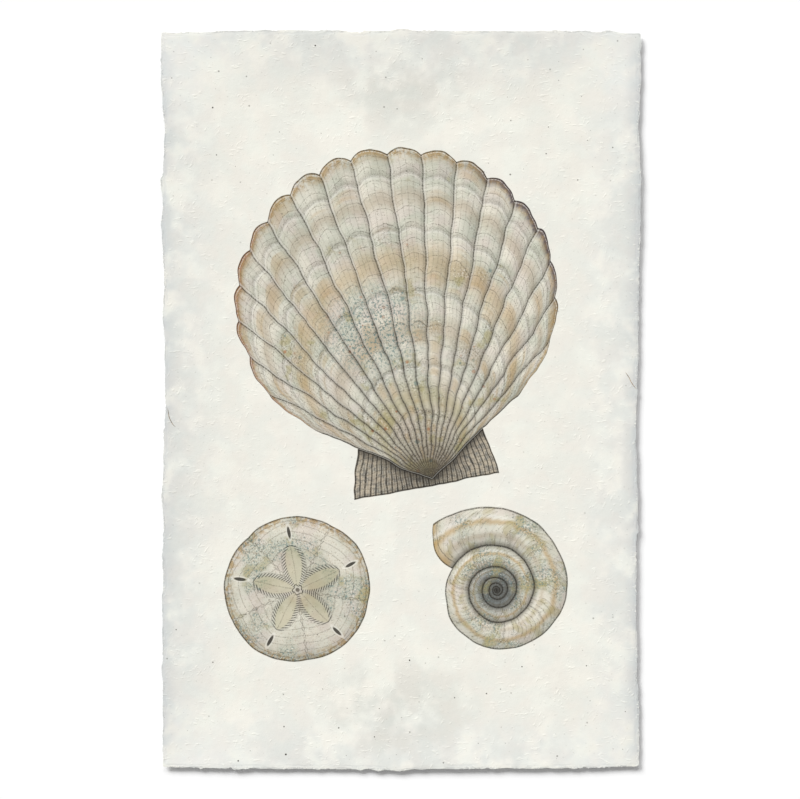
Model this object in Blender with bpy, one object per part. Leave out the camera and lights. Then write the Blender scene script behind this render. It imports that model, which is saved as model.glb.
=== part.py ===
"""A sheet of handmade paper for a print: felted in a mould as one piece, so it is one object.

It lies printed side up on the XY plane, its long side along Y. The middle lies flat, and the
borders, which dried faster, curl up a little. All four sides are deckle edges: they thin out
and wander, because the pulp crept under the mould's frame.
"""

import math
import random

import bmesh
import bpy

# Driving dimensions, in metres
SHEET_WIDTH = 0.554
SHEET_LENGTH = 0.862
BODY_THICKNESS = 0.0008
DECKLE_THICKNESS = 0.00025
DECKLE_WIDTH = 0.004  # how far in from the edge the sheet reaches its full thickness
CURL_WIDTH = 0.110  # how far in from the edge the border stops touching the table
CURL_HEIGHT = 0.0047
CURL_BEND = 1.8  # power of the border's rise: 1 is a straight slope, 2 an even bend
CORNER_SHARPNESS = 3.0  # how closely a corner's curl keeps to the higher of its two sides'
CORNER_EASE = 0.22  # how much lower a corner lies than its two sides' curl would lift it
CORNER_RADIUS = 0.0025

# The curl's long swells across the sheet: length and height
CURL_SWELLS = ((0.410, 0.0003), (0.230, 0.0002))

# Each side's course: places from its middle, and how far it stands out there (nicks negative)
SIDE_COURSES = {
    "left": (
        (-0.330, 0.0007),
        (-0.312, 0.0020),
        (-0.298, 0.0010),
        (-0.229, 0.0018),
        (-0.212, 0.0004),
        (-0.180, 0.0012),
        (-0.148, -0.0004),
        (-0.112, 0.0019),
        (-0.075, -0.0001),
        (-0.045, -0.0002),
        (-0.014, -0.0023),
        (0.066, -0.0015),
        (0.104, 0.0009),
        (0.136, -0.0011),
        (0.168, 0.0003),
        (0.203, 0.0027),
        (0.231, 0.0006),
        (0.252, 0.0033),
        (0.270, 0.0002),
        (0.316, -0.0014),
        (0.344, 0.0008),
        (0.372, 0.0029),
    ),
    "right": (
        (-0.368, 0.0015),
        (-0.336, 0.0005),
        (-0.322, -0.0015),
        (-0.300, -0.0003),
        (-0.250, -0.0018),
        (-0.170, -0.0018),
        (-0.150, -0.0002),
        (-0.118, 0.0001),
        (-0.085, -0.0009),
        (-0.040, -0.0022),
        (0.005, -0.0008),
        (0.060, 0.0007),
        (0.165, 0.0018),
        (0.190, 0.0030),
        (0.262, 0.0036),
        (0.290, 0.0022),
        (0.318, 0.0009),
        (0.344, 0.0022),
        (0.372, 0.0037),
    ),
    "top": (
        (-0.232, -0.0016),
        (-0.213, -0.0001),
        (-0.175, 0.0006),
        (-0.145, 0.0013),
        (-0.110, 0.0006),
        (-0.075, 0.0009),
        (-0.050, -0.0014),
        (-0.036, 0.0001),
        (-0.016, 0.0004),
        (0.000, 0.0026),
        (0.022, 0.0006),
        (0.090, -0.0002),
        (0.200, 0.0001),
        (0.218, 0.0004),
        (0.231, -0.0009),
        (0.242, 0.0008),
        (0.260, -0.0024),
    ),
    "bottom": (
        (-0.266, -0.0021),
        (-0.225, -0.0012),
        (-0.190, -0.0003),
        (-0.062, 0.0002),
        (-0.048, 0.0010),
        (-0.016, 0.0014),
        (0.000, 0.0025),
        (0.018, 0.0001),
        (0.095, -0.0003),
        (0.125, -0.0010),
        (0.155, -0.0005),
        (0.210, -0.0011),
        (0.240, -0.0016),
        (0.266, -0.0030),
    ),
}
DECKLE_WAVES = ((0.041, 0.0002), (0.023, 0.0002))  # finer wandering: wave lengths and heights
DECKLE_SEED = 22
DECKLE_FADE = 0.030  # depth over which the wandering dies away inside the sheet

# Rings of points from the edge inwards: depth, and how many of the edge's steps one step spans
RINGS = ((0.0, 1), (DECKLE_WIDTH, 1), (0.016, 2), (0.038, 4), (0.070, 8), (CURL_WIDTH, 8))
STEPS_ALONG_WIDTH = 96
STEPS_ALONG_LENGTH = 144

PAPER_COLOUR = (0.83, 0.82, 0.76, 1.0)
PAPER_ROUGHNESS = 0.9


def side_phases():
    """Each side's wave phases, the same in every run."""
    dice = random.Random(DECKLE_SEED)
    return {side: [dice.uniform(0, math.tau) for _ in DECKLE_WAVES] for side in SIDE_COURSES}


PHASES = side_phases()


def deckle(side, place):
    """How far a side stands out from its straight line, at a place measured from its middle."""
    course = SIDE_COURSES[side]
    out = course[0][1]
    for (start, before), (end, after) in zip(course, course[1:]):
        share = min(1.0, max(0.0, (place - start) / (end - start)))
        out += (after - before) * share * share * (3 - 2 * share)
    for (length, height), phase in zip(DECKLE_WAVES, PHASES[side]):
        out += height * math.sin(math.tau * place / length + phase)
    return out


def wandered(x, y):
    """Where a point of the straight-sided sheet lies once its edges wander."""
    in_x, in_y = SHEET_WIDTH / 2 - abs(x), SHEET_LENGTH / 2 - abs(y)
    near_x = max(0.0, 1 - in_x / DECKLE_FADE) ** 2
    near_y = max(0.0, 1 - in_y / DECKLE_FADE) ** 2
    corner_x = max(0.0, 1 - in_x / CORNER_RADIUS)
    corner_y = max(0.0, 1 - in_y / CORNER_RADIUS)
    rounding = CORNER_RADIUS * (1 - math.sqrt(0.5)) * corner_x * corner_y
    out_x = deckle("right" if x > 0 else "left", y) * near_x - rounding
    out_y = deckle("top" if y > 0 else "bottom", x) * near_y - rounding
    return x + out_x * math.copysign(1, x), y + out_y * math.copysign(1, y)


def curl(x, y):
    """Height of the sheet's underside above the table."""
    half_w, half_l = SHEET_WIDTH / 2, SHEET_LENGTH / 2
    rise_x = max(0.0, 1 - (half_w - abs(x)) / CURL_WIDTH) ** CURL_BEND
    rise_y = max(0.0, 1 - (half_l - abs(y)) / CURL_WIDTH) ** CURL_BEND
    height = CURL_HEIGHT * (1 - CORNER_EASE * rise_x * rise_y)
    for length, swell in CURL_SWELLS:
        height += swell * math.sin(math.tau * (x + y) / length)
    sharp = CORNER_SHARPNESS
    return height * (rise_x**sharp + rise_y**sharp) ** (1 / sharp)


def ring_outline(depth, stride):
    """The points of a rectangle that lies depth inside the sheet's edge, anticlockwise."""
    half_w, half_l = SHEET_WIDTH / 2 - depth, SHEET_LENGTH / 2 - depth
    across, along = STEPS_ALONG_WIDTH // stride, STEPS_ALONG_LENGTH // stride
    corners = ((-half_w, -half_l), (half_w, -half_l), (half_w, half_l), (-half_w, half_l))
    points = []
    for i, steps in enumerate((across, along, across, along)):
        (x0, y0), (x1, y1) = corners[i], corners[(i + 1) % 4]
        for step in range(steps):
            share = step / steps
            points.append((x0 + (x1 - x0) * share, y0 + (y1 - y0) * share))
    return points


def thickness(depth):
    """The sheet's thickness at a depth inside its edge."""
    share = min(1.0, depth / DECKLE_WIDTH)
    return DECKLE_THICKNESS + (BODY_THICKNESS - DECKLE_THICKNESS) * share


def add_ring(bm, depth, stride, is_top):
    """One ring of vertices, on the sheet's upper or lower face."""
    ring = []
    for x, y in ring_outline(depth, stride):
        lift = curl(x, y) + (thickness(depth) if is_top else 0.0)
        ring.append(bm.verts.new((*wandered(x, y), lift)))
    return ring


def join_rings(bm, outer, inner):
    """Faces between two rings, of which the inner has as many points as the outer, or half."""
    count = len(inner)
    halved = len(outer) == 2 * count
    for i in range(count):
        a, b = inner[i], inner[(i + 1) % count]
        if halved:
            start, middle, end = outer[2 * i], outer[2 * i + 1], outer[(2 * i + 2) % len(outer)]
            bm.faces.new((start, middle, a))
            bm.faces.new((middle, b, a))
            bm.faces.new((middle, end, b))
        else:
            bm.faces.new((outer[i], outer[(i + 1) % count], b, a))


def add_face_side(bm, is_top):
    """The sheet's upper or lower face, from its edge to the flat middle. Returns the edge ring."""
    rings = [add_ring(bm, depth, stride, is_top) for depth, stride in RINGS]
    for outer, inner in zip(rings, rings[1:]):
        join_rings(bm, outer, inner)
    bm.faces.new(rings[-1])
    return rings[0]


def centre_on_origin(bm):
    """Puts the middle of the sheet's box over the origin."""
    for axis in (0, 1):
        places = [vertex.co[axis] for vertex in bm.verts]
        middle = (min(places) + max(places)) / 2
        for vertex in bm.verts:
            vertex.co[axis] -= middle


def paper_material():
    """Uncoated rag paper: matt and warm white."""
    material = bpy.data.materials.new("paper")
    material.use_nodes = True
    surface = material.node_tree.nodes["Principled BSDF"]
    surface.inputs["Base Color"].default_value = PAPER_COLOUR
    surface.inputs["Roughness"].default_value = PAPER_ROUGHNESS
    surface.inputs["Metallic"].default_value = 0.0
    return material


def build_sheet():
    """The paper sheet, one closed body."""
    bm = bmesh.new()
    top_edge = add_face_side(bm, True)
    bottom_edge = add_face_side(bm, False)
    for i in range(len(top_edge)):
        after = (i + 1) % len(top_edge)
        bm.faces.new((top_edge[i], bottom_edge[i], bottom_edge[after], top_edge[after]))
    bmesh.ops.recalc_face_normals(bm, faces=bm.faces[:])
    centre_on_origin(bm)
    mesh = bpy.data.meshes.new("sheet")
    bm.to_mesh(mesh)
    bm.free()
    mesh.materials.append(paper_material())
    sheet = bpy.data.objects.new("sheet", mesh)
    bpy.context.collection.objects.link(sheet)
    return sheet


for old in list(bpy.data.objects):
    bpy.data.objects.remove(old)

build_sheet()
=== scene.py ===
"""The looks of a print on a sheet of handmade paper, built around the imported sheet.

Lengths are in metres. The finishes alone count in millimetres, from the middle of the sheet,
because the paper's fibres and the print's lines are that fine.
"""

import math
import random

import bpy
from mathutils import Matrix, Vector, noise


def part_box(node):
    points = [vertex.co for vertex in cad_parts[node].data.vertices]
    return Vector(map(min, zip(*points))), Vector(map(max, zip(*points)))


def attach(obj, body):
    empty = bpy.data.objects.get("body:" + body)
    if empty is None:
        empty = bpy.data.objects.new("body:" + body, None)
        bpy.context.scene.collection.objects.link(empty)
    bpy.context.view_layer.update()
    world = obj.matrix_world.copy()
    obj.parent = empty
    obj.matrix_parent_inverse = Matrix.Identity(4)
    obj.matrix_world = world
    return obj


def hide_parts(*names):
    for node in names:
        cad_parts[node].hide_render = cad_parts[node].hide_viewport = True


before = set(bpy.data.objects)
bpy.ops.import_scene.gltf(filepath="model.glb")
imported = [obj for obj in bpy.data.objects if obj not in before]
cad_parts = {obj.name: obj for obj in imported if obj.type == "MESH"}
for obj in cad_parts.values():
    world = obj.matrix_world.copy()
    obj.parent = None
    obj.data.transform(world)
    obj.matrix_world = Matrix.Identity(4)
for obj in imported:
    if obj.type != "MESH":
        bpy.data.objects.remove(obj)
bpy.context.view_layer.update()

# The paper sheet: rag and bast pulp felted in a mould as one piece, couched on a felt and dried
# loose, so its borders curl up and its middle cockles a little. All four sides are deckle edges,
# thin and ragged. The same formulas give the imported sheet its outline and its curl.
SHEET_WIDTH = 0.554
SHEET_LENGTH = 0.862
BODY_THICKNESS = 0.0008
DECKLE_THICKNESS = 0.00025
DECKLE_WIDTH = 0.004
CURL_WIDTH = 0.110
CURL_HEIGHT = 0.0047
CURL_BEND = 1.8
CORNER_SHARPNESS = 3.0
CORNER_EASE = 0.22
CORNER_RADIUS = 0.0025
CURL_SWELLS = ((0.410, 0.0003), (0.230, 0.0002))  # the curl's long swells: length and height
SIDE_COURSES = {  # places from a side's middle, and how far it stands out there (nicks negative)
    "left": (
        (-0.330, 0.0007),
        (-0.312, 0.0020),
        (-0.298, 0.0010),
        (-0.229, 0.0018),
        (-0.212, 0.0004),
        (-0.180, 0.0012),
        (-0.148, -0.0004),
        (-0.112, 0.0019),
        (-0.075, -0.0001),
        (-0.045, -0.0002),
        (-0.014, -0.0023),
        (0.066, -0.0015),
        (0.104, 0.0009),
        (0.136, -0.0011),
        (0.168, 0.0003),
        (0.203, 0.0027),
        (0.231, 0.0006),
        (0.252, 0.0033),
        (0.270, 0.0002),
        (0.316, -0.0014),
        (0.344, 0.0008),
        (0.372, 0.0029),
    ),
    "right": (
        (-0.368, 0.0015),
        (-0.336, 0.0005),
        (-0.322, -0.0015),
        (-0.300, -0.0003),
        (-0.250, -0.0018),
        (-0.170, -0.0018),
        (-0.150, -0.0002),
        (-0.118, 0.0001),
        (-0.085, -0.0009),
        (-0.040, -0.0022),
        (0.005, -0.0008),
        (0.060, 0.0007),
        (0.165, 0.0018),
        (0.190, 0.0030),
        (0.262, 0.0036),
        (0.290, 0.0022),
        (0.318, 0.0009),
        (0.344, 0.0022),
        (0.372, 0.0037),
    ),
    "top": (
        (-0.232, -0.0016),
        (-0.213, -0.0001),
        (-0.175, 0.0006),
        (-0.145, 0.0013),
        (-0.110, 0.0006),
        (-0.075, 0.0009),
        (-0.050, -0.0014),
        (-0.036, 0.0001),
        (-0.016, 0.0004),
        (0.000, 0.0026),
        (0.022, 0.0006),
        (0.090, -0.0002),
        (0.200, 0.0001),
        (0.218, 0.0004),
        (0.231, -0.0009),
        (0.242, 0.0008),
        (0.260, -0.0024),
    ),
    "bottom": (
        (-0.266, -0.0021),
        (-0.225, -0.0012),
        (-0.190, -0.0003),
        (-0.062, 0.0002),
        (-0.048, 0.0010),
        (-0.016, 0.0014),
        (0.000, 0.0025),
        (0.018, 0.0001),
        (0.095, -0.0003),
        (0.125, -0.0010),
        (0.155, -0.0005),
        (0.210, -0.0011),
        (0.240, -0.0016),
        (0.266, -0.0030),
    ),
}
DECKLE_WAVES = ((0.041, 0.0002), (0.023, 0.0002))  # finer wandering: lengths and heights
DECKLE_SEED = 22
DECKLE_FADE = 0.030  # depth over which the wandering dies away inside the sheet
HALF_WIDTH, HALF_LENGTH = SHEET_WIDTH / 2, SHEET_LENGTH / 2

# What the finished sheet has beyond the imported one: an edge that is ragged in places, most of
# all at the bottom, and a cockled middle. Rags and cockles are rows of a size and a height
CELL = 0.005
BORDER_CELLS = 2
BORDER_CUTS = 3
RAGGED_DEPTH = 0.005
RAGS = ((0.0110, 0.00050), (0.0042, 0.00050), (0.0026, 0.00040))
RAGGED_PATCHES = 0.021
RAGGED_LEAST, RAGGED_MEAN, RAGGED_CONTRAST = 0.25, 0.9, 2.6
RAGGED_SIDES = {"left": 1.0, "right": 1.1, "top": 1.0, "bottom": 1.3}
COCKLES = ((0.130, 0.00050), (0.046, 0.00026))
SMOOTH_ANGLE = 50

edge_dice = random.Random(DECKLE_SEED)
PHASES = {side: [edge_dice.uniform(0, math.tau) for _ in DECKLE_WAVES] for side in SIDE_COURSES}


def deckle(side, place):
    """How far a side stands out from its straight line, at a place measured from its middle."""
    course = SIDE_COURSES[side]
    out = course[0][1]
    for (start, before), (end, after) in zip(course, course[1:]):
        share = min(1.0, max(0.0, (place - start) / (end - start)))
        out += (after - before) * share * share * (3 - 2 * share)
    for (length, height), phase in zip(DECKLE_WAVES, PHASES[side]):
        out += height * math.sin(math.tau * place / length + phase)
    return out


def wandered(x, y):
    """Where a point of the straight-sided sheet lies once its edges wander."""
    in_x, in_y = HALF_WIDTH - abs(x), HALF_LENGTH - abs(y)
    if min(in_x, in_y) > DECKLE_FADE:
        return x, y
    near_x = max(0.0, 1 - in_x / DECKLE_FADE) ** 2
    near_y = max(0.0, 1 - in_y / DECKLE_FADE) ** 2
    corner_x = max(0.0, 1 - in_x / CORNER_RADIUS)
    corner_y = max(0.0, 1 - in_y / CORNER_RADIUS)
    rounding = CORNER_RADIUS * (1 - math.sqrt(0.5)) * corner_x * corner_y
    spot = Vector((x, y, 0.0))
    patchiness = RAGGED_MEAN + RAGGED_CONTRAST * noise.noise(spot / RAGGED_PATCHES)
    rags = sum(height * noise.noise(spot / size) for size, height in RAGS)
    ragged = max(RAGGED_LEAST, patchiness) * rags
    side_x, side_y = "right" if x > 0 else "left", "top" if y > 0 else "bottom"
    out_x = deckle(side_x, y) * near_x - rounding
    out_y = deckle(side_y, x) * near_y - rounding
    out_x += ragged * RAGGED_SIDES[side_x] * max(0.0, 1 - in_x / RAGGED_DEPTH)
    out_y += ragged * RAGGED_SIDES[side_y] * max(0.0, 1 - in_y / RAGGED_DEPTH)
    return x + out_x * math.copysign(1, x), y + out_y * math.copysign(1, y)


def curl(x, y):
    """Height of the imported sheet's underside above the table."""
    rise_x = max(0.0, 1 - (HALF_WIDTH - abs(x)) / CURL_WIDTH) ** CURL_BEND
    rise_y = max(0.0, 1 - (HALF_LENGTH - abs(y)) / CURL_WIDTH) ** CURL_BEND
    height = CURL_HEIGHT * (1 - CORNER_EASE * rise_x * rise_y)
    for length, swell in CURL_SWELLS:
        height += swell * math.sin(math.tau * (x + y) / length)
    sharp = CORNER_SHARPNESS
    return height * (rise_x**sharp + rise_y**sharp) ** (1 / sharp)


def edge_depth(x, y):
    """How far a point of the straight-sided sheet lies inside its nearest side."""
    return min(HALF_WIDTH - abs(x), HALF_LENGTH - abs(y))


def body_share(x, y):
    """0 at the very edge, 1 where the sheet has its full thickness."""
    return min(1.0, max(0.0, edge_depth(x, y)) / DECKLE_WIDTH)


def sheet_top(x, y):
    """Height of the sheet's upper face: curl, cockles, and half of the edge's thinning."""
    spot = Vector((x, y, 0.0))
    lift = sum(height * (1 + noise.noise(spot / size)) / 2 for size, height in COCKLES)
    thinning = (BODY_THICKNESS - DECKLE_THICKNESS) * (1 - body_share(x, y)) / 2
    return curl(x, y) + lift + BODY_THICKNESS - thinning


bpy.ops.object.select_all(action="DESELECT")
bpy.ops.mesh.primitive_grid_add(
    x_subdivisions=round(SHEET_WIDTH / CELL),
    y_subdivisions=round(SHEET_LENGTH / CELL),
    size=1.0,
    location=(0.0, 0.0, 0.0),
)
sheet = bpy.context.object
sheet.name = "paper_sheet"
sheet.scale = (SHEET_WIDTH, SHEET_LENGTH, 1.0)
bpy.ops.object.transform_apply(location=False, rotation=False, scale=True)

# The border is cut finer than the middle, for its ragged edge
bpy.context.tool_settings.mesh_select_mode = (False, False, True)
bpy.ops.object.mode_set(mode="EDIT")
bpy.ops.mesh.select_all(action="DESELECT")
bpy.ops.object.mode_set(mode="OBJECT")
for face in sheet.data.polygons:
    face.select = edge_depth(face.center.x, face.center.y) < BORDER_CELLS * CELL
bpy.ops.object.mode_set(mode="EDIT")
bpy.ops.mesh.subdivide(number_cuts=BORDER_CUTS)
bpy.ops.object.mode_set(mode="OBJECT")

thick_part = sheet.vertex_groups.new(name="thick_part")
depths = sheet.data.attributes.new("edge_depth", "FLOAT", "POINT").data
for vertex, depth in zip(sheet.data.vertices, depths):
    x, y = vertex.co.x, vertex.co.y
    thick_part.add([vertex.index], body_share(x, y), "REPLACE")
    depth.value = edge_depth(x, y)
    vertex.co = (*wandered(x, y), sheet_top(x, y))

body = sheet.modifiers.new("body", "SOLIDIFY")
body.thickness = BODY_THICKNESS
body.offset = -1.0
body.vertex_group = thick_part.name
body.thickness_vertex_group = DECKLE_THICKNESS / BODY_THICKNESS
bpy.ops.object.modifier_apply(modifier=body.name)

# The sheet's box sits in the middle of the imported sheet's
packed_low, packed_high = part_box("sheet")
corners = [Vector(corner) for corner in sheet.bound_box]
centring = [0.0, 0.0]
for axis in (0, 1):
    places = [corner[axis] for corner in corners]
    centring[axis] = (packed_low[axis] + packed_high[axis] - min(places) - max(places)) / 2
    for vertex in sheet.data.vertices:
        vertex.co[axis] += centring[axis]
bpy.ops.object.shade_smooth_by_angle(angle=math.radians(SMOOTH_ANGLE))

# The sheet's own UV map: the printed face takes the left three quarters, the back the rest
TOP_SPAN = (0.004, 0.742)
BACK_SPAN = (0.756, 0.240)
UP_SPAN = (0.004, 0.992)
RIM_SLOPE = 0.5  # faces whose normal rises less than this are the thin rim
RIM_SPREAD = 1.003
atlas = sheet.data.uv_layers.new(name="OFBake").data
spots = [vertex.co.copy() for vertex in sheet.data.vertices]
reach_x, reach_y = (2 * max(abs(spot[axis]) for spot in spots) for axis in (0, 1))
for face in sheet.data.polygons:
    slope, middle = face.normal.z, face.center.z
    is_rim = abs(slope) < RIM_SLOPE
    start, span = TOP_SPAN if slope > 0 or is_rim else BACK_SPAN
    for loop, vertex in zip(face.loop_indices, face.vertices):
        spot = spots[vertex]
        spread = RIM_SPREAD if is_rim and spot.z < middle else 1.0
        across = 0.5 + spot.x / reach_x * spread
        along = 0.5 + spot.y / reach_y * spread
        atlas[loop].uv = (start + span * across, UP_SPAN[0] + UP_SPAN[1] * along)


# The paper's finish: warm white pulp that settled in greyer lumps towards the edges, with pale
# fibres felted in and dark specks of bark. It is uncoated and quite matt, and the mould's frame
# pressed a faint groove just inside its edges. Painted shade darkens that groove, a thin line
# just inside the edge, the last millimetres of the side edges and the dips between the edge's
# crumbs, whose tops take a painted highlight; the right and lower borders are darkened with
# painted shade to even out the lamps' light on their curl.
MM_PER_METRE = 1000.0


class Value:
    """A number that varies over a surface. Python's sums on it add Math nodes."""

    def __init__(self, finish, socket):
        self.finish = finish
        self.socket = socket

    def maths(self, operation, other=0.0):
        return self.finish.value("ShaderNodeMath", {"operation": operation}, {0: self, 1: other})

    def __add__(self, other):
        return self.maths("ADD", other)

    __radd__ = __add__

    def __sub__(self, other):
        return self.maths("SUBTRACT", other)

    def __rsub__(self, other):
        sockets = {0: other, 1: self}
        return self.finish.value("ShaderNodeMath", {"operation": "SUBTRACT"}, sockets)

    def __mul__(self, other):
        return self.maths("MULTIPLY", other)

    __rmul__ = __mul__

    def __truediv__(self, other):
        return self.maths("DIVIDE", other)

    def __pow__(self, power):
        return self.maths("POWER", power)

    def __abs__(self):
        return self.maths("ABSOLUTE")

    def root(self):
        return self.maths("SQRT")

    def sine(self):
        return self.maths("SINE")

    def fraction(self):
        return self.maths("FRACT")

    def whole(self):
        return self.maths("FLOOR")

    def log(self):
        return self.maths("LOGARITHM", math.e)

    def exponent(self):
        return self.maths("EXPONENT")

    def least(self, other):
        return self.maths("MINIMUM", other)

    def most(self, other):
        return self.maths("MAXIMUM", other)

    def angle_beside(self, up):
        return self.maths("ARCTAN2", up)

    def to_nearest(self):
        """How far a fraction is from the nearest whole number."""
        return self.least(1 - self)

    def ramp(self, low, high):
        """0 where the value is at low, 1 where it is at high, smooth between them."""
        reach = {"Value": self, "From Min": low, "From Max": high}
        return self.finish.value("ShaderNodeMapRange", {"interpolation_type": "SMOOTHSTEP"}, reach)

    def line(self, width, softness=0.7):
        """1 on a line of this width where the value is 0."""
        return abs(self).ramp(width / 2 + softness, max(0.0, width / 2 - softness))


class Finish:
    """A material under construction, with the sheet's X and Y in millimetres."""

    def __init__(self, name):
        self.material = bpy.data.materials.new(name)
        self.material.use_nodes = True
        self.tree = self.material.node_tree
        self.shader = self.tree.nodes["Principled BSDF"]
        place = self.node("ShaderNodeTexCoord", {}, {}).outputs["Object"]
        self.spot = self.vector("SCALE", place, scale=MM_PER_METRE)
        parts = self.node("ShaderNodeSeparateXYZ", {}, {0: self.spot}).outputs
        self.x, self.y = Value(self, parts[0]), Value(self, parts[1])
        inside = self.node("ShaderNodeAttribute", {"attribute_name": "edge_depth"}, {})
        self.depth = Value(self, inside.outputs["Fac"]) * MM_PER_METRE

    def node(self, kind, settings, sockets):
        """A node of this kind, its settings set first and then its sockets' values or links."""
        made = self.tree.nodes.new(kind)
        for name, setting in settings.items():
            setattr(made, name, setting)
        for key, given in sockets.items():
            given = given.socket if isinstance(given, Value) else given
            if isinstance(given, bpy.types.NodeSocket):
                self.tree.links.new(given, made.inputs[key])
            else:
                made.inputs[key].default_value = given
        return made

    def value(self, kind, settings, sockets, output=0):
        return Value(self, self.node(kind, settings, sockets).outputs[output])

    def vector(self, operation, first, second=(0.0, 0.0, 0.0), third=(0.0, 0.0, 0.0), scale=1.0):
        sockets = {0: first, 1: second, 2: third, 3: scale}
        made = self.node("ShaderNodeVectorMath", {"operation": operation}, sockets)
        return made.outputs["Vector"]

    def mix(self, share, under, over, blend="MIX"):
        """The colour over laid on the colour under, as much as share says."""
        settings = {"data_type": "RGBA", "blend_type": blend}
        return self.node("ShaderNodeMix", settings, {0: share, 6: under, 7: over}).outputs[2]

    def lit(self, colour, brightness):
        """The colour made lighter or darker."""
        return self.vector("SCALE", colour, scale=brightness)

    def noise_node(self, at, detail, rough):
        sockets = {"Vector": at, "Scale": 1.0, "Detail": detail, "Roughness": rough}
        return self.node("ShaderNodeTexNoise", {"noise_dimensions": "2D"}, sockets)

    def scaled_spot(self, size, place, stretch=1.0, turn=0.0):
        """The place on the sheet in steps of size, or of size times stretch along the turn."""
        at = self.spot
        if turn:
            angle = {"Vector": at, "Angle": math.radians(-turn)}
            at = self.node("ShaderNodeVectorRotate", {"rotation_type": "Z_AXIS"}, angle).outputs[0]
        steps = (1 / (size * stretch), 1 / size, 0.0)
        return self.vector("MULTIPLY_ADD", at, steps, (place, -1.7 * place, 0.0))

    def noise(self, size, detail=2.0, place=0.0, stretch=1.0, turn=0.0, rough=0.5):
        """Noise from 0 to 1 in patches of about this many millimetres."""
        at = self.scaled_spot(size, place, stretch, turn)
        return Value(self, self.noise_node(at, detail, rough).outputs["Fac"])

    def noise_at(self, x, y, detail=2.0, rough=0.5):
        """Noise from 0 to 1 over two numbers of the material's own making."""
        at = self.node("ShaderNodeCombineXYZ", {}, {0: x, 1: y}).outputs[0]
        return Value(self, self.noise_node(at, detail, rough).outputs["Fac"])

    def tints(self, size, detail=2.0, place=0.0, rough=0.5):
        """A colour of three noises, each from 0 to 1."""
        return self.noise_node(self.scaled_spot(size, place), detail, rough).outputs["Color"]

    def specks(self, spacing, radius, place, share=0.5):
        """Specks of about this radius and of all strengths, in some of the cells of a spacing."""
        at = self.vector("MULTIPLY_ADD", self.spot, (1 / spacing,) * 3, (place, place, 0.0))
        sockets = {"Vector": at, "Scale": 1.0}
        made = self.node("ShaderNodeTexVoronoi", {"voronoi_dimensions": "2D"}, sockets)
        chance = self.node("ShaderNodeSeparateColor", {}, {0: made.outputs["Color"]}).outputs
        size = Value(self, chance[1]) * radius + radius * 0.5
        near = (Value(self, made.outputs["Distance"]) * spacing).ramp(size, size * 0.6)
        strength = Value(self, chance[2]) * 0.7 + 0.3
        return near * strength * Value(self, chance[0]).ramp(1 - share, 1.02 - share)


def linear(red, green, blue):
    """A colour given as the eye sees it, 0 to 255, as the light it gives back."""
    parts = [channel / 255 for channel in (red, green, blue)]
    lights = [p / 12.92 if p < 0.04045 else ((p + 0.055) / 1.055) ** 2.4 for p in parts]
    return (*lights, 1.0)


PULP_PALE = linear(239, 237.5, 228)
PULP_WARM = linear(232.5, 230.5, 222)
PULP_COOL = linear(232, 232.5, 229)
PULP_GREY = linear(205, 205.5, 198.5)
# Grey of the side edges' pulp, and painted shade at the very edge and in the groove
EDGE_GREY_AND_SHADE = linear(203, 206, 207)
# Painted shadow grey, for the thin line inside the edge and the dips between the edge's crumbs
EDGE_SHADOW_GREY = linear(170, 172, 172)
YELLOW_TINT = (1.010, 0.999, 0.990, 1.0)
GREEN_TINT = (0.988, 1.003, 1.000, 1.0)
# Pale fibres' colour, also the painted highlight on the edge's crumbs
FIBRE_PALE_AND_HIGHLIGHT = linear(246, 244, 233)
FIBRE_SHADE = linear(214, 213, 205)
BARK = linear(50, 42, 35)
BAST_BROWN = linear(104, 88, 66)
BAST_TAN = linear(180, 155, 124)
PAPER_ROUGHNESS = 0.92
PAPER_SPECULAR = 0.25
PRINTED_RELIEF = 0.8
WEAVE_TURN = 3.1  # radians in a millimetre
WEAVE_HEIGHT = 0.03
HALF_LENGTH_MM = HALF_LENGTH * MM_PER_METRE
GREY_BANKS = (  # middle, half its size, and strength
    ((4, 372), (120, 84), 0.75),
    ((-4, -372), (125, 84), 0.85),
)
FLECKS = (
    (3, 3.7, 2.6, 0.51),  # turn, width, stretch, and how rare they are
    (58, 3.3, 2.3, 0.55),
    (-32, 3.3, 2.3, 0.56),
)
GROOVE_IN = 3.8
GROOVE_WIDTH = 1.5
SHADOW_LINE_IN = 1.1
SHADOW_LINE_WIDTH = 0.9


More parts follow.
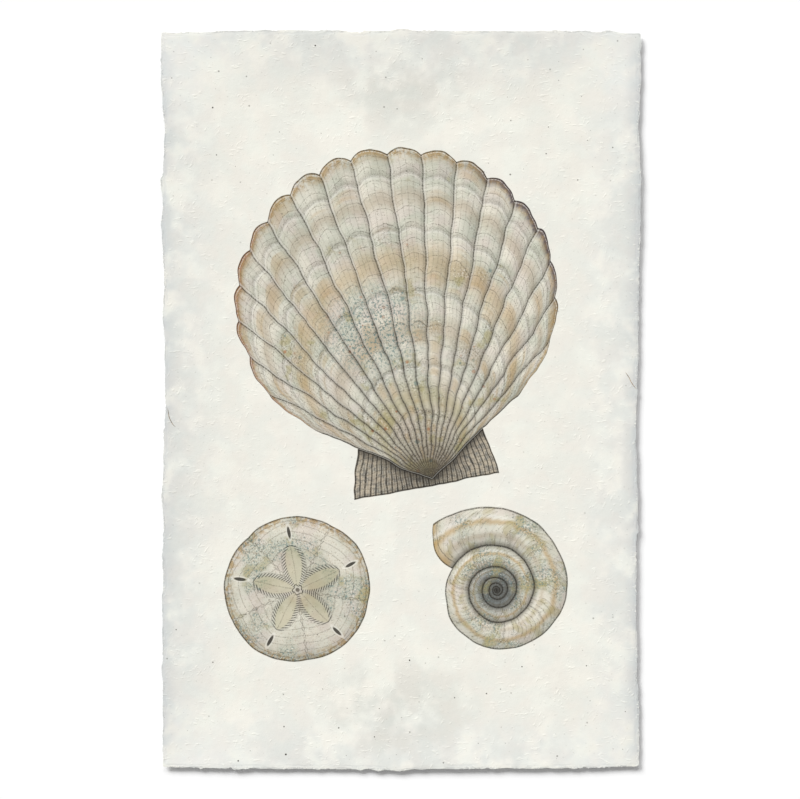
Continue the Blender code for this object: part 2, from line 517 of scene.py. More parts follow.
def pulp(finish):
    """The unprinted paper's colour and the height of its surface in millimetres."""
    banks = finish.noise(78, 2, 8.1)
    lumps = finish.noise(36, 2, 3.1)
    curds = finish.noise(15, 2, 6.6, rough=0.55)
    clouds = banks * 0.34 + lumps * 0.44 + curds * 0.22
    border = (finish.depth + (lumps - 0.5) * 80).ramp(88, 0)
    colour = finish.mix(border, PULP_WARM, PULP_COOL)
    colour = finish.mix(clouds.ramp(0.58, 0.36) * 0.8, colour, PULP_PALE)
    gathered = border * 0.66 + 0.02
    for (middle_x, middle_y), (half_x, half_y), strength in GREY_BANKS:
        across, up = (finish.x - middle_x) / half_x, (finish.y - middle_y) / half_y
        gathered = gathered.most(strength - across * across - up * up)
    corner = abs(finish.x).ramp(140, 250) * abs(finish.y).ramp(290, 400)
    gathered = gathered * (1 - corner * 0.75)
    grey = gathered * clouds.ramp(0.38, 0.60)
    colour = finish.mix(grey * 0.72, colour, PULP_GREY)
    ends = (HALF_LENGTH_MM - abs(finish.y)).ramp(4, 34)
    edge = (finish.depth + curds * 12 - 6).ramp(19, 1) * ends
    edge = edge * (lumps * 0.6 + curds * 0.4).ramp(0.34, 0.56)
    # Blotchy grey pulp along the side edges, with painted shade over their last 7 mm where the thin
    # edge turns down
    colour = finish.mix(edge * 0.50 + finish.depth.ramp(7, 0) * ends * 0.25, colour, EDGE_GREY_AND_SHADE)
    hue = finish.noise(25, 2, 6.2).ramp(0.34, 0.66)
    tint = finish.mix(hue, GREEN_TINT, YELLOW_TINT)
    colour = finish.mix(1.0, colour, tint, "MULTIPLY")
    # Painted shade: the right and lower borders are made darker to even out the lamps' light on
    # their curl, and the corners a little lighter
    painted_border_shade = finish.x.ramp(110, 285) * 0.042 + finish.x.ramp(256, 279) * 0.050
    painted_border_shade = finish.y.ramp(-290, -436) * 0.045 - corner * 0.020 + painted_border_shade
    brightness = (curds - 0.5) * 0.030 + (finish.noise(5.5, 2, 1.9) - 0.5) * 0.025 - painted_border_shade + 1.0
    colour = finish.lit(colour, brightness)

    felted = None
    for turn, width, stretch, rarity in FLECKS:
        fleck = finish.noise(width, 2, 5.2 + turn * 0.1, stretch, turn, 0.45)
        where = finish.noise(27, 2, 7.7 + turn * 0.1).ramp(rarity, rarity + 0.12)
        fleck = fleck.ramp(0.58, 0.80) * where
        felted = fleck if felted is None else felted.most(fleck)
    colour = finish.mix(felted * 0.32, colour, FIBRE_PALE_AND_HIGHLIGHT)
    bark = finish.specks(40, 0.95, 2.3, 0.62).most(finish.specks(31, 0.65, 7.9, 0.36) * 0.6)
    bark = bark * (abs(finish.y).ramp(190, 300) * 0.75 + 0.25)
    bark = bark.most(finish.specks(9, 0.7, 5.4, 0.60) * 0.15)
    colour = finish.mix(bark, colour, BARK)

    clumps = finish.noise(7.5, 2, 4.6)
    felt = finish.noise(1.7, 3, 1.3, rough=0.65)
    groove = (finish.depth + curds * 3 + clumps * 3 - 3 - GROOVE_IN).line(GROOVE_WIDTH, 1.1)
    groove = groove * finish.noise(30, 2, 9.7).ramp(0.42, 0.62)
    # The groove is darkened with painted shade, beside its real bump
    colour = finish.mix(groove * 0.25, colour, EDGE_GREY_AND_SHADE)
    # Painted shadow: a thin broken line just inside the edge, as under the deckle's thin lip
    shadow_line = (finish.depth + clumps * 2.4 - 1.2 - SHADOW_LINE_IN).line(SHADOW_LINE_WIDTH, 0.6)
    shadow_line = shadow_line * finish.noise(16, 2, 4.4).ramp(0.44, 0.60)
    colour = finish.mix(shadow_line * 0.5, colour, EDGE_SHADOW_GREY)
    # Crumbs along the edge: real bump, with a painted highlight on their raised felt and painted
    # shade in its dips
    crumbs = finish.depth.ramp(3.6, 0.8) * finish.noise(19, 2, 2.8).ramp(0.48, 0.60)
    colour = finish.mix(crumbs * felt.ramp(0.56, 0.64) * 0.9, colour, FIBRE_PALE_AND_HIGHLIGHT)
    colour = finish.mix(crumbs * felt.ramp(0.44, 0.36) * 0.5, colour, EDGE_SHADOW_GREY)
    height = felt * (crumbs * 0.20 + 0.052) + clumps * 0.12 + felted * 0.165 - groove * 0.08
    return colour, height


def finished(finish, colour, height, relief=1.0):
    """Sets the paper's matt surface and its low relief."""
    sockets = {"Height": height, "Distance": 0.001, "Strength": relief}
    bump = finish.node("ShaderNodeBump", {}, sockets)
    finish.tree.links.new(bump.outputs[0], finish.shader.inputs["Normal"])
    finish.tree.links.new(colour, finish.shader.inputs["Base Color"])
    finish.shader.inputs["Roughness"].default_value = PAPER_ROUGHNESS
    finish.shader.inputs["Specular IOR Level"].default_value = PAPER_SPECULAR
    return finish.material


def plain_paper(name):
    """The paper where nothing is printed."""
    finish = Finish(name)
    return finished(finish, *pulp(finish))


def paper_back():
    """The underside, which took the weave of the felt it was couched on."""
    finish = Finish("paper_back")
    colour, height = pulp(finish)
    weave = (finish.x * WEAVE_TURN).sine() * (finish.y * WEAVE_TURN).sine()
    return finished(finish, colour, height + weave * WEAVE_HEIGHT)


# The printed design: a plate of three sea finds in matt pigment inks, a scallop, a sand dollar
# and a moon snail, drawn from textbook forms. The inks have no body, so they are only colour,
# and the paper's own fibres show through them.
PAPER_WHITE = (238, 237, 229)


def ink(red, green, blue):
    """An ink, as the share of the paper's light that it gives back."""
    parts = zip(linear(red, green, blue), linear(*PAPER_WHITE))
    return tuple(light / paper for light, paper in parts)


WHITE = ink(240, 238, 230)
IVORY = ink(222, 218, 204)
GREY_GREEN = ink(198, 199, 184)
PINK_GREY = ink(212, 203, 194)
TAUPE = ink(184, 172, 152)
SEPIA = ink(84, 77, 65)
NEAR_BLACK = ink(42, 38, 33)
HINGE_GREY = ink(128, 124, 116)
OCHRE = ink(180, 150, 98)
RUST = ink(168, 112, 74)
OLIVE = ink(170, 161, 112)
TEAL = ink(104, 132, 130)
SLATE = ink(92, 106, 114)
PLUM = ink(84, 66, 76)
LIGHT_FROM = (-0.45, 0.89)  # the drawn light comes from the upper left


def wavering(finish, size, amount, place):
    """X and Y led astray by up to about amount, so that no drawn line is ruler straight."""
    astray = finish.vector("SUBTRACT", finish.tints(size, 2, place), (0.5, 0.5, 0.5))
    moved = finish.vector("MULTIPLY_ADD", astray, (4 * amount, 4 * amount, 0.0), finish.spot)
    parts = finish.node("ShaderNodeSeparateXYZ", {}, {0: moved}).outputs
    return Value(finish, parts[0]), Value(finish, parts[1])


def turned(x, y, middle, turn):
    """X and Y from a motif's own middle, along axes turned anticlockwise by turn degrees."""
    across, up = x - middle[0], y - middle[1]
    c, s = math.cos(math.radians(turn)), math.sin(math.radians(turn))
    return across * c + up * s, up * c - across * s


def light_in(turn):
    """The drawn light's direction along a motif's turned axes."""
    c, s = math.cos(math.radians(turn)), math.sin(math.radians(turn))
    return LIGHT_FROM[0] * c + LIGHT_FROM[1] * s, LIGHT_FROM[1] * c - LIGHT_FROM[0] * s


def shell_ground(finish, place):
    """The chalky ground that all three motifs share, with its clouds and its finer mottle."""
    cloud = finish.noise(44, 3, place, rough=0.6)
    mottle = finish.noise(6.5, 3, place + 2.6, rough=0.64)
    colour = finish.mix(cloud.ramp(0.34, 0.64), IVORY, GREY_GREEN)
    blush = finish.noise(27, 2, place + 5.1).ramp(0.50, 0.68)
    colour = finish.mix(blush * 0.6, colour, PINK_GREY)
    pits = finish.noise(2.2, 2, place + 7.7, rough=0.75).ramp(0.58, 0.68)
    colour = finish.mix(pits * mottle.ramp(0.46, 0.62) * 0.5, colour, SEPIA)
    return finish.lit(colour, (mottle - 0.5) * 0.16 + 1.0), cloud, mottle


def weathered(finish, colour, where, place):
    """Grit, chips and coloured stains, as on a find that the sea has rolled."""
    grain = finish.noise(2.1, 2, place, rough=0.8)
    where = where.most(0.0)
    colour = finish.mix(grain.ramp(0.40, 0.30) * where * 0.7, colour, WHITE)
    colour = finish.mix(grain.ramp(0.59, 0.68) * where * 0.75, colour, SEPIA)
    chip = finish.noise(7.5, 3, place + 3.3, rough=0.7).ramp(0.62, 0.66)
    colour = finish.mix(chip * where * 0.5, colour, TAUPE)
    stain = finish.noise(24, 2, place + 6.1).ramp(0.55, 0.68)
    return finish.mix(stain * where * 0.6, colour, OLIVE)


def printed(finish, paper, inked, colour):
    """The ink's colour on the paper, where inked is 1."""
    return finish.mix(inked, paper, finish.mix(1.0, paper, colour, "MULTIPLY"))


# The scallop, seen from outside. Its fan is part of a circle around a point above the beak
SCALLOP_BEAK = (36, -92)
SCALLOP_LEAN = 11
SCALLOP_RADIUS = 190
SCALLOP_CENTRE = 232
SCALLOP_SQUASH = 0.93
SCALLOP_RIBS = 19
SCALLOP_HALF_FAN = math.asin(SCALLOP_RADIUS / SCALLOP_CENTRE)
RIB_ANGLE = 2 * SCALLOP_HALF_FAN / SCALLOP_RIBS
RIM_SCALLOP = 0.022
EAR_REACH = 92
EAR_BASE = -9
GROWTH_BANDS = (
    (0.25, 0.035, OLIVE, 0.50),
    (0.46, 0.030, TAUPE, 0.65),
    (0.66, 0.040, OCHRE, 0.50),
    (0.85, 0.022, TAUPE, 0.65),
)
GROWTH_CHECKS = (0.34, 0.565, 0.755, 0.915)


def scallop(finish, paper):
    """The scallop's inks on the paper."""
    x, y = wavering(finish, 46, 2.2, 0.6)
    across, along = turned(x, y, SCALLOP_BEAK, SCALLOP_LEAN)
    up = along / SCALLOP_SQUASH
    away = (across * across + up * up).root().most(0.01)
    angle = across.angle_beside(up)
    sine, cosine = across / away, up / away
    chord = (SCALLOP_RADIUS**2 - (SCALLOP_CENTRE * sine) ** 2).most(0.0).root()
    reach = (cosine * SCALLOP_CENTRE + chord).most(1.0)
    rib_count = angle / RIB_ANGLE + 0.5
    rib = rib_count.fraction()
    crown = 1 - (rib * 2 - 1) ** 2
    grown = away / reach * (1 + RIM_SCALLOP * (1 - crown))
    rim = (1 - grown) * reach
    side = (SCALLOP_HALF_FAN - abs(angle)) * away
    fan = rim.ramp(-0.5, 0.5) * side.ramp(-0.5, 0.5)

    broken = finish.noise(1.5, 2, 2.9).ramp(0.30, 0.62)
    colour, cloud, mottle = shell_ground(finish, 6.3)
    by_rib = finish.noise_at(rib_count.whole() * 3.7, grown * 11, 2, 0.6)
    colour = finish.mix(grown.ramp(0.40, 0.03) * 0.8, colour, TAUPE)
    for middle, half_width, tint, strength in GROWTH_BANDS:
        wander = (mottle - 0.5) * 0.035 + (by_rib - 0.5) * 0.05
        band = (grown + wander - middle).line(half_width * 2, half_width)
        colour = finish.mix(band * strength, colour, tint)
    colour = finish.mix(by_rib.ramp(0.56, 0.64) * crown * 0.40, colour, OCHRE)
    stain = rim.ramp(19, 1) * (mottle * 1.3 + cloud * 0.7 - 0.35).ramp(0.35, 0.75)
    colour = finish.mix(stain * 0.9, colour, OCHRE)
    smudge = angle.ramp(0.22, 0.42) * angle.ramp(0.86, 0.66) * (rim + mottle * 18).ramp(24, 9)
    colour = finish.mix(smudge * 0.95, colour, PLUM)
    rust = angle.ramp(-0.26, -0.48) * (rim + mottle * 12).ramp(16, 6)
    colour = finish.mix(rust * 0.85, colour, RUST)

    tilt = (rib - 0.5) * (sine * LIGHT_FROM[1] - cosine * LIGHT_FROM[0]) * -0.52
    roundness = rim.least(side * 1.6).ramp(0, 30) * 0.14 + 0.88
    colour = finish.lit(colour, (1 + tilt * grown.ramp(0.02, 0.5)) * roundness)
    for check in GROWTH_CHECKS:
        step = grown + (mottle - 0.5) * 0.006 - check
        shelf = step.ramp(0.028, 0.0) * step.ramp(-0.002, 0.002)
        colour = finish.mix(shelf * broken.ramp(-0.6, 1.0) * 0.45, colour, SEPIA)
        colour = finish.mix(step.line(0.010, 0.004) * 0.30, colour, WHITE)

    patch = (cloud + (grown - 0.45) * -0.35).ramp(0.47, 0.62)
    colour = weathered(finish, colour, patch, 4.1)
    teal_patch = ((across + 34) ** 2 + (up - 196) ** 2).root().ramp(82, 20)
    teal = teal_patch * finish.noise(3.1, 3, 7.1, rough=0.7).ramp(0.50, 0.62)
    colour = finish.mix(teal * 0.85, colour, TEAL)
    dots = finish.specks(13, 1.9, 3.4, 0.22) * patch.most(teal_patch)
    colour = finish.mix(dots * 0.8, colour, RUST)
    dots = finish.specks(17, 2.3, 8.8, 0.24) * patch.most(teal_patch)
    colour = finish.mix(dots * 0.8, colour, TEAL)

    groove = ((rib_count - 0.5).fraction() - 0.5) * RIB_ANGLE * away
    deep = grown.ramp(1.0, 0.1) * 0.22 + 0.24
    colour = finish.mix((groove - 1.7).line(1.0, 0.9) * grown.ramp(0.2, 0.5) * 0.45, colour, WHITE)
    colour = finish.mix(groove.line(3.4, 2.8) * deep, colour, SEPIA)
    colour = finish.mix(groove.line(1.0) * (broken * 0.6 + 0.35), colour, NEAR_BLACK)
    fine_gap = (rib * 5 + 0.5).fraction().to_nearest() * (RIB_ANGLE / 5) * away
    colour = finish.mix(fine_gap.line(0.5) * broken * grown.ramp(0.25, 0.6) * 0.34, colour, SEPIA)
    ring_gap = (grown**1.5 * 17 + cloud * 0.9).fraction().to_nearest() / 17 * reach
    colour = finish.mix(ring_gap.line(0.6) * broken * 0.68, colour, SEPIA)
    fine_gap = (grown**1.3 * 74 + cloud * 2.2).fraction().to_nearest() / 74 * reach
    scaly = fine_gap.line(0.5) * broken * mottle.ramp(0.42, 0.60)
    colour = finish.mix(scaly * 0.36, colour, SEPIA)
    beak = away.ramp(58, 4) * (fine_gap.line(0.8) * 0.5 + 0.5)
    colour = finish.mix(beak * 0.85, colour, SEPIA)
    colour = finish.mix((rim - 2.8).line(0.9, 0.8) * broken * 0.6, colour, WHITE)
    outline = (rim - 0.9).line(1.5).most((side - 0.7).line(1.5))
    colour = finish.mix(outline * (broken * 0.45 + 0.5), colour, NEAR_BLACK)

    right_hand = across.ramp(-1, 1)
    ear_reach = EAR_REACH - right_hand * 15 - up * (0.24 - right_hand * 0.10)
    outer = ear_reach - abs(across)
    base = up - EAR_BASE
    ear = outer.ramp(-0.5, 0.5) * base.ramp(-0.5, 0.5) * side.ramp(0.5, -0.5)
    row_gap = (abs(across) / ear_reach * 15 + cloud * 0.5).fraction().to_nearest() / 15 * EAR_REACH
    ear_tone = finish.mix(mottle.ramp(0.34, 0.62), HINGE_GREY, TAUPE)
    ear_tone = finish.lit(ear_tone, outer.ramp(84, 0) * 0.54 + 0.50)
    ear_tone = finish.mix((row_gap - 1.5).line(0.9) * broken * 0.5, ear_tone, IVORY)
    ear_tone = finish.mix(row_gap.line(1.5, 1.2) * (broken * 0.5 + 0.45), ear_tone, NEAR_BLACK)
    cross_gap = (base / 6.5 + cloud * 0.6).fraction().to_nearest() * 6.5
    ear_tone = finish.mix(cross_gap.line(0.6) * broken * 0.6, ear_tone, SEPIA)
    ear_tone = finish.mix(side.ramp(-16, 0) * 0.70, ear_tone, NEAR_BLACK)
    ear_edge = (outer - 0.8).line(1.3).most((base - 1.0).line(2.2)).most((side + 1.0).line(1.9))
    ear_tone = finish.mix(ear_edge * (broken * 0.4 + 0.55), ear_tone, NEAR_BLACK)
    colour = finish.mix(ear, colour, ear_tone)
    return printed(finish, paper, fan.most(ear), colour)


# The sand dollar, seen from above: a low round test with a five-petalled star of pores, and
# a slot through it beyond each petal
DOLLAR_MIDDLE = (-121, -222)
DOLLAR_RADIUS = 86
DOLLAR_TURN = 8
PETALS = 5
PETAL_LENGTH = 0.62
PETAL_WIDTH = 13.5
PORE_STEP = 3.0
SLOT_AWAY = 0.79
SLOT_HALF_LENGTH = 6.8
SLOT_HALF_WIDTH = 1.9


def sand_dollar(finish, paper):
    """The sand dollar's inks on the paper."""
    x, y = wavering(finish, 60, 1.5, 3.6)
    across, up = turned(x, y, DOLLAR_MIDDLE, DOLLAR_TURN)
    away = (across * across + up * up).root().most(0.01)
    angle = across.angle_beside(up)
    sector = math.tau / PETALS
    off_axis = ((angle / sector + 0.5).fraction() - 0.5) * sector
    lobed = 1 - 0.024 * (off_axis / (sector / 2)) ** 2
    grown = away / DOLLAR_RADIUS / lobed
    rim = (1 - grown) * DOLLAR_RADIUS

    broken = finish.noise(1.4, 2, 1.9).ramp(0.30, 0.62)
    colour, cloud, mottle = shell_ground(finish, 5.5)
    stain = rim.ramp(15, 1) * mottle.ramp(0.42, 0.60)
    colour = finish.mix(stain * 0.85, colour, OCHRE)
    colour = finish.mix(grown.ramp(0.62, 0.10) * cloud.ramp(0.40, 0.62) * 0.65, colour, TAUPE)
    light = light_in(DOLLAR_TURN)
    facing = (across * light[0] + up * light[1]) / DOLLAR_RADIUS
    dome = 0.98 + facing * (grown.ramp(0.2, 1.0) * 0.17 - 0.02)
    colour = finish.lit(colour, dome * (rim.ramp(0, 17) * 0.16 + 0.85))
    colour = weathered(finish, colour, grown.ramp(0.40, 0.66) * cloud.ramp(0.46, 0.58), 8.1)
    teal = cloud.ramp(0.50, 0.60) * finish.noise(3, 3, 9.9, rough=0.7).ramp(0.53, 0.65)
    colour = finish.mix(teal * grown.ramp(0.30, 0.50) * 0.75, colour, TEAL)

    petal_end = grown / PETAL_LENGTH
    lens = (petal_end * (1 - petal_end) * 4).most(0.0) ** 0.75
    beside = abs(off_axis) * away
    petal_gap = beside - lens * PETAL_WIDTH * (0.6 + petal_end * 0.5)
    in_petal = petal_end.ramp(1.01, 0.97) * petal_end.ramp(0.05, 0.12)
    outside = petal_gap.ramp(3.0, 5.0).most(petal_end.ramp(0.98, 1.04))
    colour = finish.mix(petal_gap.ramp(0.5, -3.5) * in_petal * 0.38, colour, OLIVE)
    colour = finish.mix(beside.line(0.5) * in_petal * broken * 0.5, colour, SEPIA)
    row = ((away + beside * 0.35) / PORE_STEP).fraction() - 0.5
    pores = (row * PORE_STEP).line(1.2) * petal_gap.line(5.0) * in_petal
    colour = finish.mix(pores * (broken * 0.35 + 0.62), colour, NEAR_BLACK)
    colour = finish.mix((petal_gap - 3.2).line(0.5) * in_petal * broken * 0.6, colour, SEPIA)

    beyond = grown.ramp(0.10, 0.3)
    zigzag = abs((away / 9).fraction() - 0.5) * 3.2
    seam = (sector / 2 - abs(off_axis)) * away - zigzag
    colour = finish.mix(seam.line(0.7) * beyond * broken * 0.7, colour, SEPIA)
    plate_gap = (away / 9 + 0.25 + abs(off_axis) * 1.4).fraction().to_nearest() * 9
    plates = plate_gap.line(0.5) * outside * beyond * broken
    colour = finish.mix(plates * 0.55, colour, SEPIA)
    granules = finish.specks(2.6, 0.8, 6.1, 0.75) * outside
    colour = finish.mix(granules * 0.55, colour, TAUPE)

    slot_across = beside / SLOT_HALF_WIDTH
    slot_along = (away - SLOT_AWAY * DOLLAR_RADIUS) / SLOT_HALF_LENGTH
    slot_place = (slot_across**2 + slot_along * slot_along).root()
    colour = finish.mix((slot_place - 1.4).line(0.3, 0.4) * 0.5, colour, WHITE)
    colour = finish.mix(slot_place.ramp(1.15, 0.85) * 0.9, colour, NEAR_BLACK)
    button = (away - 5.6 + (angle * PETALS).sine() * 0.9).line(0.9)
    colour = finish.mix(button * (broken * 0.4 + 0.6), colour, NEAR_BLACK)
    colour = finish.mix(away.ramp(3.6, 1.8) * 0.85, colour, SEPIA)
    outline = (rim - 0.8).line(1.5).most((rim - 3.8 - mottle * 2.4).line(0.5) * 0.5)
    colour = finish.mix(outline * (broken * 0.45 + 0.5), colour, NEAR_BLACK)
    return printed(finish, paper, rim.ramp(-0.5, 0.5), colour)


# The moon snail, seen from above its spire: one whorl wound in a logarithmic spiral
SNAIL_MIDDLE = (112, -222)
SNAIL_RADIUS = 106
SNAIL_LIP = 44
WHORL_GROWTH = 1.86
LIP_BULGE = 0.34
WHORL_LOG = math.log(WHORL_GROWTH)


def moon_snail(finish, paper):
    """The moon snail's inks on the paper."""
    x, y = wavering(finish, 60, 1.6, 7.3)
    across, up = turned(x, y, SNAIL_MIDDLE, SNAIL_LIP)
    away = (across * across + up * up).root().most(0.3)
    outward = (away / SNAIL_RADIUS).log() / -WHORL_LOG
    bulge = (1 - (1 - outward).least(1.0).most(0.0) ** 3) * LIP_BULGE
    turn = ((across.angle_beside(up) + bulge) / math.tau + 10).fraction()
    reach = (turn * -WHORL_LOG).exponent() * SNAIL_RADIUS
    whorls = (reach / away).log() / WHORL_LOG
    inward = whorls.fraction()
    wound = turn + whorls.whole()
    rim = reach - away
    lip = turn * math.tau * away

    broken = finish.noise(1.4, 2, 3.3).ramp(0.30, 0.62)
    colour, cloud, mottle = shell_ground(finish, 1.1)
    along = finish.noise_at(wound * 26, inward * 1.3, 3, 0.6)
    wander = (along - 0.5) * 0.2
    colour = finish.mix((inward + wander - 0.28).line(0.12, 0.07) * 0.65, colour, OCHRE)
    colour = finish.mix((inward + wander - 0.66).line(0.15, 0.08) * 0.60, colour, TAUPE)
    colour = finish.mix(along.ramp(0.50, 0.68) * 0.5, colour, OLIVE)
    colour = finish.mix(away.ramp(40, 12) * 0.85, colour, SLATE)
    colour = finish.mix(lip.ramp(19, 0) * whorls.ramp(1.0, 0.8) * 0.8, colour, OCHRE)

    light = light_in(SNAIL_LIP)
    facing = (across * light[0] + up * light[1]) / away
    shade = (0.44 - inward) * facing * 0.62 + 1
    sunk = inward.ramp(1.0, 0.72) * 0.26 + 0.76
    colour = finish.lit(colour, shade * sunk * (rim.ramp(0, 17) * 0.14 + 0.88))
    crest = (inward + (along - 0.5) * 0.1 - 0.18).line(0.05, 0.05) * facing.ramp(0.2, 0.9)
    colour = finish.mix(crest * 0.5, colour, WHITE)

    curved = wound + (1 - (1 - inward) ** 3) * (LIP_BULGE / math.tau)
    line_gap = (curved * 64 + along * 1.2).fraction().to_nearest() / 64 * math.tau * away
    colour = finish.mix(line_gap.line(0.5) * broken * along.ramp(0.32, 0.56) * 0.6, colour, SEPIA)
    check = (curved * 7 + along * 0.35).fraction()
    colour = finish.mix(check.ramp(0.13, 0.0) * broken.ramp(-0.5, 1.0) * 0.40, colour, SEPIA)
    colour = weathered(finish, colour, cloud.ramp(0.46, 0.60), 5.9)
    teal = cloud.ramp(0.50, 0.62) * finish.noise(2.8, 3, 4.4, rough=0.7).ramp(0.53, 0.64)
    colour = finish.mix(teal * 0.75, colour, TEAL)
    suture = inward.to_nearest() * away * (WHORL_LOG * 0.8)
    coiled = whorls.ramp(0.5, 0.6)
    colour = finish.mix(suture.line(4.4, 3.4) * coiled * 0.5, colour, SEPIA)
    colour = finish.mix(suture.line(1.3) * coiled * (broken * 0.4 + 0.6), colour, NEAR_BLACK)
    outline = (rim - 0.8).line(1.5).most((lip - 0.8).line(1.5) * whorls.ramp(1.02, 0.98))
    outline = outline.most((lip - 6.5 - mottle * 3).line(0.5) * whorls.ramp(1.0, 0.96) * 0.7)
    colour = finish.mix(outline * (broken * 0.45 + 0.5), colour, NEAR_BLACK)
    return printed(finish, paper, rim.ramp(-0.5, 0.5), colour)


def printed_paper(name, motif):
    """The paper with one motif printed on it."""
    finish = Finish(name)
    paper, height = pulp(finish)
    return finished(finish, motif(finish, paper), height, PRINTED_RELIEF)


# Each face of the sheet takes the finish of what is printed on it. A motif keeps to a round
# area of the sheet, given by its middle and its radius in millimetres
PRINTED_AREAS = (
    ("printed_scallop", scallop, (4, 98), 228),
    ("printed_dollar", sand_dollar, DOLLAR_MIDDLE, 92),
    ("printed_snail", moon_snail, SNAIL_MIDDLE, 114),
)
sheet.data.materials.append(plain_paper("paper"))
sheet.data.materials.append(paper_back())
for name, motif, _, _ in PRINTED_AREAS:
    sheet.data.materials.append(printed_paper(name, motif))
for face in sheet.data.polygons:
    face.material_index = 0 if face.normal.z > 0 else 1
    for number, (_, _, middle, radius) in enumerate(PRINTED_AREAS):
        place = face.center.xy * MM_PER_METRE - Vector(middle)
        if face.normal.z > 0 and place.length < radius:
            face.material_index = number + 2
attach(sheet, "root")
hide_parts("sheet")


# The loose fibres: hairs of pulp that stand out of the deckle edges, and longer bast strands
# that lie felted into the unprinted borders, half sunk in the sheet.
STRAND_TAPER, TAPER_POWER = 0.6, 3


def laid_place(x, y, height=0.0):
    """A point of the finished sheet's upper face, or a height above it."""
    place_x, place_y = wandered(x, y)
    return place_x + centring[0], place_y + centring[1], sheet_top(x, y) + height


def strands(name, routes, radius):
    """One mesh of thin round strands along the routes."""
    curve = bpy.data.curves.new(name, "CURVE")
    curve.dimensions = "3D"
    curve.bevel_depth = radius
    curve.bevel_resolution = 0
    curve.use_fill_caps = True
    for route in routes:
        spline = curve.splines.new("POLY")
        spline.points.add(len(route) - 1)
        for number, (point, place) in enumerate(zip(spline.points, route)):
            point.co = (*place, 1.0)
            from_middle = abs(2 * number / (len(route) - 1) - 1)
            point.radius = 1 - STRAND_TAPER * from_middle**TAPER_POWER
    piece = bpy.data.objects.new(name, curve)
    bpy.context.scene.collection.objects.link(piece)
    bpy.ops.object.select_all(action="DESELECT")
    piece.select_set(True)
    bpy.context.view_layer.objects.active = piece
    bpy.ops.object.convert(target="MESH")
    bpy.ops.object.shade_smooth()
    return bpy.context.object


HAIRS = 1500
HAIR_RADIUS = 0.00005
HAIR_ROOT = 0.0022
HAIR_REACH = (0.0003, 0.0016)
HAIR_SLANT = 0.0016
HAIR_BOW = 0.4
HAIR_STEPS = 4
HAIR_MARGIN = 0.006
HAIR_SEED = 31
hair_dice = random.Random(HAIR_SEED)


def hair():
    """A short hair from inside a deckle edge to just outside it."""
    place = hair_dice.uniform(-1, 1)
    reach = hair_dice.uniform(*HAIR_REACH)
    slant = hair_dice.uniform(-HAIR_SLANT, HAIR_SLANT)
    bow = hair_dice.uniform(-HAIR_BOW, HAIR_BOW) * HAIR_SLANT
    long_side = hair_dice.random() < HALF_LENGTH / (HALF_WIDTH + HALF_LENGTH)
    hand = hair_dice.choice((-1, 1))
    route = []
    for step in range(HAIR_STEPS):
        share = step / (HAIR_STEPS - 1)
        out = -HAIR_ROOT + (HAIR_ROOT + reach) * share
        sideways = slant * share + bow * math.sin(math.pi * share)
        half, other = (HALF_WIDTH, HALF_LENGTH) if long_side else (HALF_LENGTH, HALF_WIDTH)
        inner = (half + min(out, 0.0)) * hand
        edge = place * (other - HAIR_MARGIN) + sideways
        x, y, z = laid_place(inner, edge) if long_side else laid_place(edge, inner)
        beyond = max(out, 0.0) * hand
        x, y = (x + beyond, y) if long_side else (x, y + beyond)
        route.append((x, y, z - DECKLE_THICKNESS / 2))
    return route


PALE_STRANDS = 110
PALE_LENGTHS = (0.004, 0.013)
PALE_BENDING = (0.35, 0.10)
PALE_RADIUS = 0.00020
DARK_STRANDS = 16
DARK_LENGTHS = (0.008, 0.022)
DARK_BENDING = (1.5, 0.16)
DARK_RADIUS = 0.00008
BROWN_STRANDS = (
    ((0.2627, 0.0325), -0.98, 0.002, 0.025),  # start, heading, bend at each step, and length
    ((-0.2744, -0.0095), -1.40, 0.036, 0.026),
)
BROWN_WOBBLE = 0.05
BROWN_RADIUS = 0.00042
STRAND_STEP = 0.0012
STRAND_MARGIN = 0.006
STRAND_SINK = 0.00006
PRINT_MARGIN = 12
STRAND_SEED = 47
strand_dice = random.Random(STRAND_SEED)


def is_printed(x, y):
    """True within a motif's area."""
    spot = Vector((x, y)) * MM_PER_METRE
    gaps = [(spot - Vector(middle)).length - radius for _, _, middle, radius in PRINTED_AREAS]
    return min(gaps) < PRINT_MARGIN


def strand(start, heading, bend, length, wobble=0.15):
    """A strand's route over the paper, from its start and its first heading, bending as it goes."""
    x, y = start
    route = []
    for _ in range(max(3, round(length / STRAND_STEP))):
        route.append(laid_place(x, y, -STRAND_SINK))
        x += math.cos(heading) * STRAND_STEP
        y += math.sin(heading) * STRAND_STEP
        heading += bend + strand_dice.gauss(0, wobble)
    return route


def scattered(count, lengths, bending):
    """Strands over the unprinted paper, more or less along its width."""
    straggle, curliness = bending
    routes = []
    while len(routes) < count:
        x = strand_dice.uniform(-1, 1) * (HALF_WIDTH - STRAND_MARGIN)
        y = strand_dice.uniform(-1, 1) * (HALF_LENGTH - STRAND_MARGIN)
        if not is_printed(x, y):
            heading, bend = strand_dice.gauss(0, straggle), strand_dice.gauss(0, curliness)
            routes.append(strand((x, y), heading, bend, strand_dice.uniform(*lengths)))
    return routes


def fibre_finish(name, colour, darker):
    """Bleached fibre, a little uneven along its length."""
    finish = Finish(name)
    tone = finish.noise(3.0, 2, 4.9)
    mixed = finish.mix(tone.ramp(0.40, 0.66), colour, darker)
    return finished(finish, mixed, finish.noise(0.4, 1, 2.2) * 0.05)


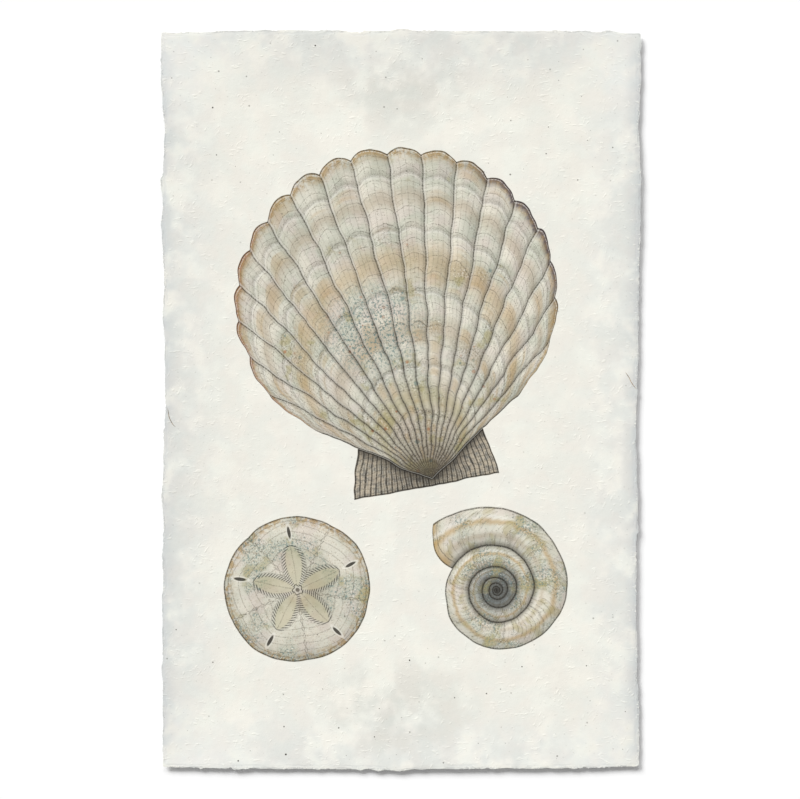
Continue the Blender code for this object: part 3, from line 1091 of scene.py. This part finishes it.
hairs = strands("deckle_hairs", [hair() for _ in range(HAIRS)], HAIR_RADIUS)
hairs.data.materials.append(fibre_finish("deckle_hair", PULP_COOL, PULP_GREY))
routes = scattered(PALE_STRANDS, PALE_LENGTHS, PALE_BENDING)
pale = strands("pale_strands", routes, PALE_RADIUS)
pale.data.materials.append(fibre_finish("pale_strand", FIBRE_PALE_AND_HIGHLIGHT, FIBRE_SHADE))
routes = scattered(DARK_STRANDS, DARK_LENGTHS, DARK_BENDING)
dark = strands("dark_strands", routes, DARK_RADIUS)
dark.data.materials.append(fibre_finish("dark_strand", BARK, FIBRE_SHADE))
routes = [strand(*course, wobble=BROWN_WOBBLE) for course in BROWN_STRANDS]
brown = strands("brown_strands", routes, BROWN_RADIUS)
brown.data.materials.append(fibre_finish("brown_strand", BAST_TAN, BAST_BROWN))
for piece in (hairs, pale, dark, brown):
    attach(piece, "root")

# The floor: a plain pale surface that the sheet lies on, not part of the object
FLOOR_SIZE = 40.0
FLOOR_GAP = 0.0001
FLOOR_COLOUR = (0.96, 0.96, 0.96, 1.0)
bpy.ops.object.select_all(action="DESELECT")
bpy.ops.mesh.primitive_plane_add(size=FLOOR_SIZE, location=(0.0, 0.0, -FLOOR_GAP))
floor = bpy.context.object
floor.name = "floor"
floor_finish = bpy.data.materials.new("floor")
floor_finish.use_nodes = True
floor_shader = floor_finish.node_tree.nodes["Principled BSDF"]
floor_shader.inputs["Base Color"].default_value = FLOOR_COLOUR
floor_shader.inputs["Roughness"].default_value = 1.0
floor_shader.inputs["Specular IOR Level"].default_value = 0.0
floor.data.materials.append(floor_finish)

# The light: a soft lamp from the upper left, low enough to show the sheet's relief and to throw
# the narrow shadow along its right and lower edges, a weaker one from above the sheet's head,
# which deepens the lower shadow, and an even fill from all round
LAMPS = (
    ("key", (-0.52, 0.67, 0.505), 3.31),  # name, direction and strength
    ("head_lamp", (0.0, 0.81, 0.585), 0.965),
)
LAMP_ANGLE = 26
FILL_STRENGTH = 0.345
for name, direction, strength in LAMPS:
    lamp = bpy.data.objects.new(name, bpy.data.lights.new(name, "SUN"))
    lamp.data.energy = strength
    lamp.data.angle = math.radians(LAMP_ANGLE)
    lamp.rotation_euler = Vector(direction).to_track_quat("Z", "Y").to_euler()
    bpy.context.scene.collection.objects.link(lamp)
world = bpy.data.worlds.new("studio")
world.use_nodes = True
world.node_tree.nodes["Background"].inputs["Color"].default_value = (1.0, 1.0, 1.0, 1.0)
world.node_tree.nodes["Background"].inputs["Strength"].default_value = FILL_STRENGTH
bpy.context.scene.world = world
bpy.context.scene.view_settings.view_transform = "Standard"

# The camera looks straight down on the sheet, as the photograph looks straight at it
PHOTO_WIDTH, PHOTO_HEIGHT = 800, 799
PIXEL = 0.0011707  # what one of the photograph's pixels spans on the sheet
SHEET_MIDDLE_PIXEL = (400.9, 399.9)
LENS = 100
SENSOR = 36
camera = bpy.data.objects.new("camera", bpy.data.cameras.new("camera"))
camera.data.lens = LENS
camera.data.sensor_width = SENSOR
camera.location = (
    (PHOTO_WIDTH / 2 - SHEET_MIDDLE_PIXEL[0]) * PIXEL,
    (SHEET_MIDDLE_PIXEL[1] - PHOTO_HEIGHT / 2) * PIXEL,
    PHOTO_WIDTH * PIXEL * LENS / SENSOR,
)
bpy.context.scene.collection.objects.link(camera)
bpy.context.scene.camera = camera
